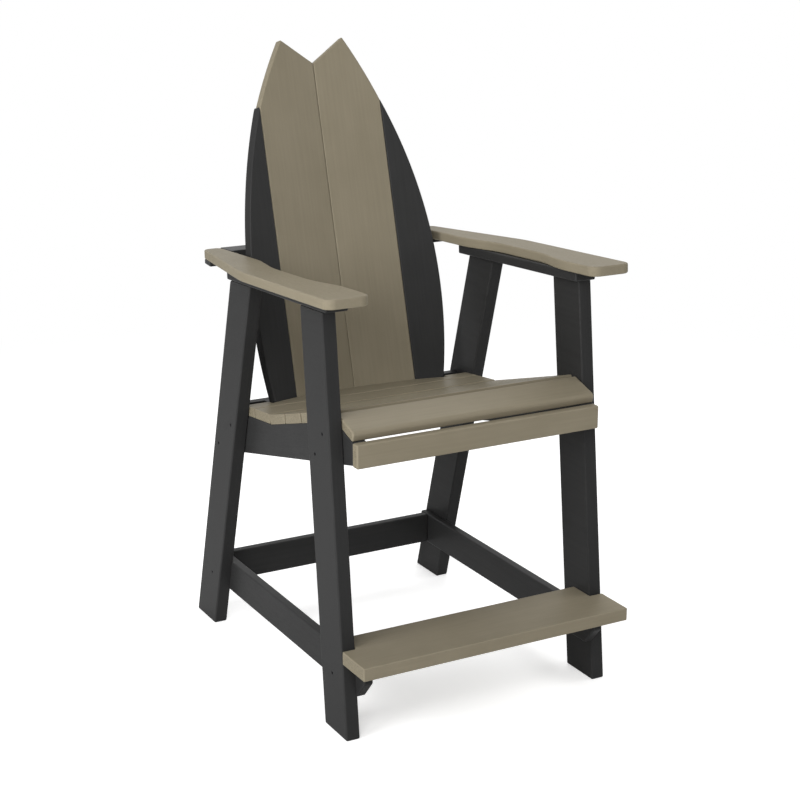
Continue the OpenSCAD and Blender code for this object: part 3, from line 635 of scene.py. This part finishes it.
# The centre boards stay straight at their outer edge until the outline comes inside it
square_to, outer_top = (
    outline_rise + math.sqrt(outline_r ** 2 - (u - outline_u) ** 2)
    for u in (center_w - back_joint / 2, center_w + back_joint / 2))
curved = [w for w in heights if w > square_to + corner_clear]
center_outline = (
    [(back_joint / 2, notch_rise + tan(notch_slope) * back_joint / 2),
     (back_joint / 2, -back_tail),
     (center_w - back_joint / 2, -back_tail), (center_w - back_joint / 2, square_to)]
    + [(outline_at(w, 0), w) for w in curved]
)
outer_outline = (
    [(back_joint / 2, outer_top), (back_joint / 2, -back_tail)]
    + [(outline_at(w, center_w), w) for w in heights if w < outer_top - corner_clear]
)
for side, word in SIDES:
    for kind, outline, place, lumber, slot in (
            ("center", center_outline, in_back(center_turn), khaki_lumber, "khaki_poly"),
            ("outer", outer_outline, in_back(outer_turn, seam_x, seam_v), black_lumber,
             "black_poly")):
        # The outline is drawn in the board's face, and the mirror makes the left board
        stand = (Matrix.Diagonal((side, 1, 1, 1)) @ place
                 @ Matrix(((1, 0, 0, 0), (0, 0, 1, 0), (0, 1, 0, 0), (0, 0, 0, 1))))
        up, front = stand.to_3x3() @ Vector((0, 1, 0)), stand.to_3x3() @ Vector((0, 0, -1))
        back = eased("back_%s_board_%s" % (kind, word), blank(outline, board_t, stand),
                     back_edge_r, up, front)
        back.data.materials.append(lumber)
        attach(back, "root")
        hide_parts("back_%s_%s" % (kind, word))

# Upper back rail. A thick black board laid flat behind the back at the height of the
# arms. Its front edge is shaped to the back boards, and its ends are cut down so that
# the rear ends of the arms lie on them.
arm_inset, arm_w, arm_rear_w, arm_past_back = 26.75, 87.5, 37.0, 45.4
arm_turn_y, arm_rear_r = 366.0, 14.0
shape_end, shape_front, rebate_fit = 55.0, 85.0, 0.5
arm_inner = leg_in - arm_inset
arm_outer = arm_inner + arm_w
back_rear_y0 = low_y - tan(recline) * low_z
back_arm_y = crossing(back_rear_y0, tan(recline), arm_z, tan(arm_fall))[0]


def along_arm(y):
    """How far along the arms' plane a point at y under the cleats is."""
    return (y + 2 * board_t * sin(arm_fall)) / cos(arm_fall)


arm_end_y = along_arm(back_arm_y) + arm_past_back
taper = (arm_w - arm_rear_w) / (arm_end_y - arm_turn_y)
taper_angle = math.degrees(math.atan(taper))


def in_arms(z=0.0):
    """Places an outline drawn on the plane of the arm tops as (X, Y), z above it."""
    return (Matrix.Translation((0, toe_y, arm_z))
            @ Matrix.Rotation(math.radians(-arm_fall), 4, "X") @ Matrix.Translation((0, 0, z)))


def arc(x, y, r, start, end, steps=10):
    """Points on an arc round x, y from one angle to another."""
    angles = [start + (end - start) * i / steps for i in range(steps + 1)]
    return [(x + r * cos(a), y + r * sin(a)) for a in angles]


def arm_edge(y):
    """How far out the outer edge of an arm is on its taper."""
    return arm_outer - taper * (y - arm_turn_y)


arm_rear_corner = arc(arm_edge(arm_end_y - arm_rear_r) - arm_rear_r / cos(taper_angle),
                      arm_end_y - arm_rear_r, arm_rear_r, taper_angle, 90)
high_end_y = arm_end_y - shape_end
high_rail = blank(both_sides(
    [(rail_shape_half, arm_end_y - shape_front), (rail_shape_half, high_end_y),
     (arm_edge(high_end_y), high_end_y)] + arm_rear_corner),
    frame_t, in_arms(-frame_t))
high_rail = sawn(high_rail, back_space())
for side in (-1, 1):
    high_rail = sawn(high_rail, blank(
        oblong(side * (arm_inner - rebate_fit), side * far, 0, 2 * far),
        frame_t, in_arms(-board_t)))
high_rail = eased("upper_back_rail_board", high_rail, back_rail_edge_r, (1, 0, 0), (0, 0, 1))
high_rail.data.materials.append(black_lumber)
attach(high_rail, "root")
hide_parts("upper_back_rail")

# Arm cleats. A black board laid flat on the two leg tops of a side, held by screws down
# into the legs. The arm covers it, so only its edge shows.
cleat_inset, cleat_overhang = 17.75, 15.4
cleat_in = leg_in - cleat_inset
cleat_front = along_arm(leg_top(0, front_lean)[0]) - cleat_overhang
cleat_rear = along_arm(leg_top(heel_y, -rear_lean)[0]) + cleat_overhang
for side, word in SIDES:
    cleat = eased("arm_cleat_board_" + word, blank(
        oblong(side * cleat_in, side * leg_out, cleat_front, cleat_rear),
        board_t, in_arms(-2 * board_t)), edge_r, (0, 1, -tan(arm_fall)), (0, 0, 1))
    cleat.data.materials.append(black_lumber)
    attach(cleat, "root")
    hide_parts("arm_cleat_" + word)

# Arms. Khaki boards, wide at the front, waisted on the inside and tapered to the rear,
# where they lie on the upper back rail. Screws from below hold them to the cleats. They
# are routed to shape all round, which closes the pores at their ends.
arm_front, arm_corner_r, arm_turn_r = 1.5, 20.0, 300.0
waist, waist_start, waist_full, waist_fade, waist_end = 18.0, 90.0, 220.0, 340.0, 480.0


def waist_run(from_y, to_y, from_d, to_d, steps=12):
    """Points on the inner edge of an arm, which curves from one depth of the waist to another."""
    return [(arm_inner + from_d + (to_d - from_d) * (1 - cos(180 * i / steps)) / 2,
             from_y + (to_y - from_y) * i / steps) for i in range(steps + 1)]


arm_outline = (
    arc(arm_inner + arm_corner_r, arm_corner_r - arm_front, arm_corner_r, 180, 270)
    + arc(arm_outer - arm_corner_r, arm_corner_r - arm_front, arm_corner_r, 270, 360)
    + arc(arm_outer - arm_turn_r, arm_turn_y - arm_turn_r * tan(taper_angle / 2),
          arm_turn_r, 0, taper_angle)
    + arm_rear_corner
    + arc(arm_inner + arm_rear_r, arm_end_y - arm_rear_r, arm_rear_r, 90, 180)
    + waist_run(waist_end, waist_fade, 0, waist)
    + waist_run(waist_full, waist_start, waist, 0)
)
for side, word in SIDES:
    arm = eased("arm_board_" + word,
                blank([(side * a, b) for a, b in arm_outline], board_t, in_arms(-board_t)),
                edge_r, (0, 1, -tan(arm_fall)), (0, 0, 1), open_ends=False)
    arm.data.materials.append(khaki_lumber)
    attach(arm, "root")
    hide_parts("arm_" + word)

# Screws. Countersunk stainless screws with a black coating and a six-lobed recess. They
# go in through the legs, the undersides of the cleats and the rear of the back rails,
# each at the bottom of a bore a little wider than its head.
head_d, head_l, screw_d, tip_d, sink = 7.0, 3.0, 4.2, 1.2, 0.5
recess_d, recess_depth, lobe_waist, screw_sides = 3.9, 1.5, 0.72, 24
bore_r, bore_start, bore_end = 3.65, -30.0, head_l + 0.2
leg_screw_l, arm_screw_l, ledge_screw_l, cleat_screw_l = 41.0, 32.0, 24.0, 63.5
screw_weld, screw_crease = 0.001, 30
black_steel = bpy.data.materials.new("black-coated stainless steel")
black_steel.use_nodes = True
steel_tree = black_steel.node_tree
steel_shader = steel_tree.nodes["Principled BSDF"]
steel_shader.inputs["Metallic"].default_value = 1.0
# A thin baked coating gives the steel a dark, low sheen, uneven in patches 1 mm across
steel_place = add_node(steel_tree, "ShaderNodeTexCoord").outputs["Object"]
coating = add_node(steel_tree, "ShaderNodeTexNoise",
                   {"Vector": steel_place, "Scale": 900.0, "Detail": 3.0})
coat_tone = add_node(steel_tree, "ShaderNodeValToRGB", {"Fac": coating.outputs[0]})
coat_tone.color_ramp.elements[0].color = colour("#1C1C1D")
coat_tone.color_ramp.elements[1].color = colour("#343436")
steel_tree.links.new(coat_tone.outputs[0], steel_shader.inputs["Base Color"])
coat_gloss = add_node(steel_tree, "ShaderNodeMapRange",
                      {"Value": coating.outputs[0], "To Min": 0.38, "To Max": 0.55})
steel_tree.links.new(coat_gloss.outputs[0], steel_shader.inputs["Roughness"])

screw_tree = bpy.data.node_groups.new("countersunk screws", "GeometryNodeTree")
screw_sizes = {"Head diameter": head_d, "Head height": head_l, "Shank diameter": screw_d,
               "Tip diameter": tip_d, "Recess width": recess_d, "Recess depth": recess_depth}
screw_tree.interface.new_socket("Geometry", in_out="OUTPUT", socket_type="NodeSocketGeometry")
screw_tree.interface.new_socket("Geometry", in_out="INPUT", socket_type="NodeSocketGeometry")
for label in screw_sizes:
    screw_tree.interface.new_socket(label, in_out="INPUT", socket_type="NodeSocketFloat")
screw_tree.interface.new_socket("Material", in_out="INPUT", socket_type="NodeSocketMaterial")
given = add_node(screw_tree, "NodeGroupInput").outputs
head_r, shank_r, tip_r, lobe_r = (
    sum_of(screw_tree, given[label], 0.5, "MULTIPLY")
    for label in ("Head diameter", "Shank diameter", "Tip diameter", "Recess width"))
# The top of the head is a disc with the recess let into it; it faces away from the point
ring = add_node(screw_tree, "GeometryNodeCurvePrimitiveCircle", {
    "Resolution": screw_sides, "Radius": head_r})
lobes = add_node(screw_tree, "GeometryNodeCurveStar", {
    "Points": 6, "Inner Radius": sum_of(screw_tree, lobe_r, lobe_waist, "MULTIPLY"),
    "Outer Radius": lobe_r})
outlines = add_node(screw_tree, "GeometryNodeJoinGeometry", {0: ring.outputs[0]})
screw_tree.links.new(lobes.outputs[0], outlines.inputs[0])
top = add_node(screw_tree, "GeometryNodeFillCurve", {0: outlines.outputs[0]})
floor_of = add_node(screw_tree, "GeometryNodeFillCurve", {0: lobes.outputs[0]})
down = add_node(screw_tree, "ShaderNodeCombineXYZ", {2: 1.0})
recess = add_node(screw_tree, "GeometryNodeExtrudeMesh", {
    "Mesh": floor_of.outputs[0], "Offset": down.outputs[0],
    "Offset Scale": given["Recess depth"], "Individual": False})
cone = add_node(screw_tree, "GeometryNodeMeshCone", {
    "Vertices": screw_sides, "Radius Top": shank_r, "Radius Bottom": head_r,
    "Depth": given["Head height"]}, fill_type="NONE")
head_parts = add_node(screw_tree, "GeometryNodeJoinGeometry", {0: top.outputs[0]})
for part in (recess.outputs[0], cone.outputs[0]):
    screw_tree.links.new(part, head_parts.inputs[0])
# The shank is 1 mm long here, and each screw draws it out to its own length
shank = add_node(screw_tree, "GeometryNodeMeshCone", {
    "Vertices": screw_sides, "Radius Top": tip_r, "Radius Bottom": shank_r, "Depth": 1.0},
    fill_type="NONE")
tip = add_node(screw_tree, "GeometryNodeMeshCircle", {
    "Vertices": screw_sides, "Radius": tip_r}, fill_type="NGON")
tip_at = add_node(screw_tree, "GeometryNodeTransform", {
    "Geometry": tip.outputs[0], "Translation": (0, 0, 1.0)})
shank_parts = add_node(screw_tree, "GeometryNodeJoinGeometry", {0: shank.outputs[0]})
screw_tree.links.new(tip_at.outputs[0], shank_parts.inputs[0])
aim = add_node(screw_tree, "GeometryNodeInputNamedAttribute", {"Name": "aim"},
               data_type="FLOAT_VECTOR")
turn = add_node(screw_tree, "FunctionNodeAlignRotationToVector",
                {"Vector": aim.outputs[0]}, axis="Z")
reach = add_node(screw_tree, "GeometryNodeInputNamedAttribute", {"Name": "length"},
                 data_type="FLOAT")
shank_l = sum_of(screw_tree, reach.outputs[0], given["Head height"], "SUBTRACT")
shank_scale = add_node(screw_tree, "ShaderNodeCombineXYZ", {0: 1.0, 1: 1.0, 2: shank_l})
neck = add_node(screw_tree, "ShaderNodeVectorMath", {0: aim.outputs[0], 3: given["Head height"]},
                operation="SCALE")
shank_points = add_node(screw_tree, "GeometryNodeSetPosition", {
    "Geometry": given["Geometry"], "Offset": neck.outputs[0]})
heads = add_node(screw_tree, "GeometryNodeInstanceOnPoints", {
    "Points": given["Geometry"], "Instance": head_parts.outputs[0],
    "Rotation": turn.outputs[0]})
shanks = add_node(screw_tree, "GeometryNodeInstanceOnPoints", {
    "Points": shank_points.outputs[0], "Instance": shank_parts.outputs[0],
    "Rotation": turn.outputs[0], "Scale": shank_scale.outputs[0]})
all_parts = add_node(screw_tree, "GeometryNodeJoinGeometry", {0: heads.outputs[0]})
screw_tree.links.new(shanks.outputs[0], all_parts.inputs[0])
solid = add_node(screw_tree, "GeometryNodeRealizeInstances", {0: all_parts.outputs[0]})
metres = add_node(screw_tree, "GeometryNodeTransform", {
    "Geometry": solid.outputs[0], "Scale": (mm, mm, mm)})
coated = add_node(screw_tree, "GeometryNodeSetMaterial", {
    "Geometry": metres.outputs[0], "Material": given["Material"]})
add_node(screw_tree, "NodeGroupOutput", {0: coated.outputs[0]})


def screws(name, node, places):
    """A set of screws as one piece; a place is the middle of a head, its aim and its length."""
    points = bpy.data.meshes.new(name)
    points.from_pydata([at for at, _, _ in places], [], [])
    points.attributes.new("aim", "FLOAT_VECTOR", "POINT").data.foreach_set(
        "vector", [c for _, way, _ in places for c in Vector(way).normalized()])
    points.attributes.new("length", "FLOAT", "POINT").data.foreach_set(
        "value", [length for _, _, length in places])
    mesh = made_by(screw_tree, points, {**screw_sizes, "Material": black_steel})
    bm = bmesh.new()
    bm.from_mesh(mesh)
    bmesh.ops.remove_doubles(bm, verts=bm.verts, dist=screw_weld * mm)
    bmesh.ops.recalc_face_normals(bm, faces=bm.faces)
    bm.to_mesh(mesh)
    bm.free()
    mesh.shade_smooth()
    mesh.set_sharp_from_angle(angle=math.radians(screw_crease))
    piece = bpy.data.objects.new(name, mesh)
    bpy.context.collection.objects.link(piece)
    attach(piece, "root")
    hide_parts(node)


def drilled(piece, places):
    """Bores the holes for these screw heads in a finished board, from well outside it to
    just under the cone of the head."""
    bm = bmesh.new()
    for at, way, _ in places:
        turn = Vector(way).to_track_quat("Z", "Y").to_matrix().to_4x4()
        middle = (Matrix.Translation(Vector(at) * mm) @ turn
                  @ Matrix.Translation((0, 0, (bore_start + bore_end) / 2 * mm)))
        bmesh.ops.create_cone(
            bm, cap_ends=True, segments=screw_sides, radius1=bore_r * mm, radius2=bore_r * mm,
            depth=(bore_end - bore_start) * mm, matrix=middle)
    carved(piece, bm)


# How far the screws are from the long edges of the legs and of the seat rails
front_edge_d, rear_edge_d, seat_d, bottom_d, low_rear_shift = 27, 22, 19, 22, 8
seat_z0 = bend_z + tan(seat_fall) * bend_y
stretcher_screw_z = footrest_z - stretcher_h / 2
front_leg_screws = [
    crossing(front_edge_d, tan(front_lean), seat_z0 - seat_d, tan(seat_fall)),
    crossing(front_foot - front_edge_d, tan(front_lean),
             rail_bottom_z0 + bottom_d, tan(bottom_fall)),
    (front_foot / 2 + tan(front_lean) * stretcher_screw_z, stretcher_screw_z)]
rear_leg_screws = [
    crossing(leg_spacing + rear_edge_d, -tan(rear_lean), rear_seat_z0 - seat_d, tan(rear_fall)),
    crossing(heel_y - rear_edge_d, -tan(rear_lean), rail_bottom_z0 + bottom_d, tan(bottom_fall)),
    (leg_spacing + rear_foot / 2 - tan(rear_lean) * stretcher_screw_z - low_rear_shift,
     stretcher_screw_z)]
leg_set = []
for side, word in SIDES:
    for kind, places in (("front", front_leg_screws), ("rear", rear_leg_screws)):
        heads_here = [((side * (leg_out - sink), y + toe_y, z), (-side, 0, 0), leg_screw_l)
                      for y, z in places]
        drilled(bpy.data.objects["%s_leg_board_%s" % (kind, word)], heads_here)
        leg_set += heads_here
screws("leg_screw_set", "leg_screws", leg_set)

leg_mid = leg_out - frame_t / 2
leg_tops = [along_arm((leg_top(a, lean)[0] + leg_top(b, lean)[0]) / 2)
            for a, b, lean in ((0, front_foot, front_lean), (leg_spacing, heel_y, -rear_lean))]
ledge_inset, cleat_pair = 27, 20
ledge_y = arm_end_y - ledge_inset
up = in_arms().to_3x3() @ Vector((0, 0, 1))
arm_set, cleat_set = [], []
for side, word in SIDES:
    below = [(in_arms() @ Vector((
        side * leg_mid, leg_tops[0] + i * (leg_tops[1] - leg_tops[0]) / 3, sink - 2 * board_t)),
        up, arm_screw_l) for i in (1, 2)]
    ledge = [(in_arms() @ Vector((
        side * (arm_inner + arm_edge(ledge_y)) / 2, ledge_y, sink - frame_t)),
        up, ledge_screw_l)]
    drilled(bpy.data.objects["arm_cleat_board_" + word], below)
    drilled(high_rail, ledge)
    arm_set += below + ledge
    cleat_set += [
        (in_arms() @ Vector((side * leg_mid, y + cleat_pair * half, -board_t - sink)),
         -up, cleat_screw_l) for y in leg_tops for half in (-1, 1)]
screws("arm_screw_set", "arm_screws", arm_set)
screws("cleat_screw_set", "cleat_screws", cleat_set)

low_screw_l, high_screw_l, point_short = 44.0, 63.5, 5
high_z = arm_z - tan(arm_fall) * back_arm_y - frame_t / 2
back_set = []
for z, length, rail in ((low_z - block_h / 2, low_screw_l, low_rail),
                        (high_z, high_screw_l, high_rail)):
    places = []
    for x in (center_w / 2, seam_x + seat_u / 2):
        turned = min(x, seam_x) * tan(center_turn) + max(x - seam_x, 0) * tan(outer_turn)
        front_y = back_y + tan(recline) * (z - back_z) - turned / cos(recline)
        places += [((side * x, front_y + point_short + length + toe_y, z), (0, -1, 0), length)
                   for side in (-1, 1)]
    drilled(rail, places)
    back_set += places
screws("back_screw_set", "back_screws", back_set)

# Floor and backdrop. A matt white studio floor, which keeps the chair's soft shadow. The
# camera sees it go over into the white surround between two distances from the chair.
floor_r, floor_sides, fade_start, fade_end, floor_lift = 14000, 64, 1400, 2800, 0.5
floor_mesh = bpy.data.meshes.new("floor")
floor_bm = bmesh.new()
bmesh.ops.create_circle(floor_bm, cap_ends=True, segments=floor_sides, radius=floor_r * mm)
floor_bm.to_mesh(floor_mesh)
floor_bm.free()
floor = bpy.data.objects.new("floor", floor_mesh)
bpy.context.collection.objects.link(floor)
floor_paint = bpy.data.materials.new("matt white studio floor")
floor_paint.use_nodes = True
floor_tree = floor_paint.node_tree
floor_shader = floor_tree.nodes["Principled BSDF"]
floor_shader.inputs["Base Color"].default_value = colour("#F2F2F2")
floor_shader.inputs["Roughness"].default_value = 0.9
floor_shader.inputs["Specular IOR Level"].default_value = 0.0
seen = add_node(floor_tree, "ShaderNodeLightPath")
spot = add_node(floor_tree, "ShaderNodeTexCoord")
reach = add_node(floor_tree, "ShaderNodeVectorMath",
                 {0: spot.outputs["Object"]}, operation="LENGTH")
fade = add_node(floor_tree, "ShaderNodeMapRange", {
    "Value": reach.outputs["Value"], "From Min": fade_start * mm, "From Max": fade_end * mm},
    interpolation_type="SMOOTHSTEP")
white = add_node(floor_tree, "ShaderNodeEmission", {"Color": (1, 1, 1, 1), "Strength": 1.0})
lift = add_node(floor_tree, "ShaderNodeEmission", {
    "Strength": sum_of(floor_tree, seen.outputs["Is Camera Ray"], floor_lift, "MULTIPLY")})
near = add_node(floor_tree, "ShaderNodeAddShader",
                {0: floor_shader.outputs[0], 1: lift.outputs[0]})
far_off = sum_of(floor_tree, fade.outputs[0], seen.outputs["Is Camera Ray"], "MULTIPLY")
both = add_node(floor_tree, "ShaderNodeMixShader",
                {0: far_off, 1: near.outputs[0], 2: white.outputs[0]})
floor_tree.links.new(both.outputs[0], floor_tree.nodes["Material Output"].inputs["Surface"])
floor_mesh.materials.append(floor_paint)

# Light. Plain soft studio light: a white surround and four large soft lamps, two from the
# left, a weaker one from the right, and one from high behind for the arms and the back.
surround_light, lamps_aim = 0.26, (0, 0, 600)
world = bpy.data.worlds.new("studio")
bpy.context.scene.world = world
world.use_nodes = True
world_tree = world.node_tree
world_tree.nodes.clear()
rays = add_node(world_tree, "ShaderNodeLightPath")
shown = sum_of(
    world_tree, sum_of(world_tree, rays.outputs["Is Camera Ray"], rays.outputs["Is Glossy Ray"]),
    rays.outputs["Is Transmission Ray"])
strength = add_node(world_tree, "ShaderNodeMapRange",
                    {"Value": shown, "To Min": surround_light, "To Max": 1.0})
surround = add_node(world_tree, "ShaderNodeBackground",
                    {"Color": (1, 1, 1, 1), "Strength": strength.outputs[0]})
add_node(world_tree, "ShaderNodeOutputWorld", {0: surround.outputs[0]})

for name, at, size, watts in (
        ("side lamp", (-3600, -800, 2000), 2000, 94),
        ("front lamp", (-2400, -3200, 2800), 2400, 94),
        ("right lamp", (3500, -1000, 2200), 2400, 36),
        ("rear lamp", (1400, 2300, 3800), 2400, 68)):
    lamp_data = bpy.data.lights.new(name, "AREA")
    lamp_data.size, lamp_data.energy = size * mm, watts
    lamp = bpy.data.objects.new(name, lamp_data)
    lamp.location = Vector(at) * mm
    aim_way = Vector(lamps_aim) - Vector(at)
    lamp.rotation_euler = aim_way.to_track_quat("-Z", "Y").to_euler()
    bpy.context.collection.objects.link(lamp)

bpy.context.scene.view_settings.view_transform = "Standard"
